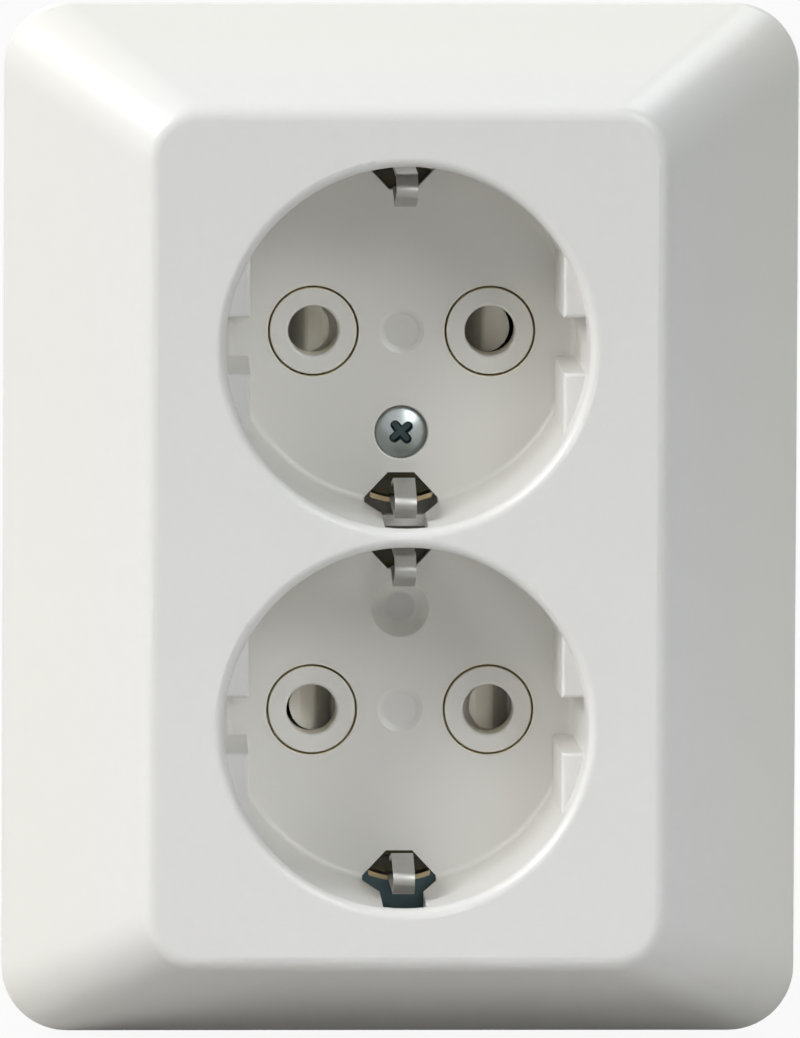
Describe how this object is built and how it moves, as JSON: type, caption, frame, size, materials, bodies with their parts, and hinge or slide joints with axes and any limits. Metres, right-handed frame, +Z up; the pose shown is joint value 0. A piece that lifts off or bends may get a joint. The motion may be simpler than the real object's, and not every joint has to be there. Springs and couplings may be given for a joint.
{
  "type": "double socket outlet",
  "caption": "Flush wall power outlet with stacked round earthed wells in one sloped white cover, with spring earth clips and shuttered pin holes.",
  "frame": {"origin": "centre of the two box-screw slots, on the wall plane", "axes": "+X to the right seen from the front, +Z up, +Y into the wall, so the front faces -Y"},
  "size_m": [0.0854, 0.0425, 0.1112],
  "materials": {
    "white_plastic": "gloss",
    "collar_plastic": "satin gloss",
    "shutter_plastic": "satin",
    "base_plastic": "matt",
    "zinc": "zinc plated",
    "spring_steel": "drawn",
    "plated_bronze": "tin plated, satin",
    "brass": "bare, satin"
  },
  "bodies": {
    "body": {"cover": "white_plastic", "upper_contact_cover": "collar_plastic", "lower_contact_cover": "collar_plastic", "cover_screw": "zinc", "terminal_screws": "zinc", "mounting_plate": "zinc", "upper_shutter_spring": "spring_steel", "lower_shutter_spring": "spring_steel", "upper_top_earth_clip": "plated_bronze", "upper_bottom_earth_clip": "plated_bronze", "lower_top_earth_clip": "plated_bronze", "lower_bottom_earth_clip": "plated_bronze", "upper_earth_strap": "brass", "lower_earth_strap": "brass", "live_rail": "brass", "neutral_rail": "brass", "threaded_bushes": "brass", "earth_rivets": "brass", "base": "base_plastic", "live_clamp_plate": "zinc", "neutral_clamp_plate": "zinc", "earth_clamp_plate": "zinc"},
    "upper_shutter": {"upper_shutter": "shutter_plastic"},
    "lower_shutter": {"lower_shutter": "shutter_plastic"}
  },
  "joints": [
    {"name": "upper_shutter_slide", "type": "slide", "parent": "body", "child": "upper_shutter", "axis": [1, 0, 0], "range_m": [0, 0.0057], "stiffness_N_per_m": 120, "springref_m": -0.002, "deforming": ["upper_shutter_spring"]},
    {"name": "lower_shutter_slide", "type": "slide", "parent": "body", "child": "lower_shutter", "axis": [-1, 0, 0], "range_m": [0, 0.0057], "stiffness_N_per_m": 120, "springref_m": -0.002, "deforming": ["lower_shutter_spring"]}
  ]
}
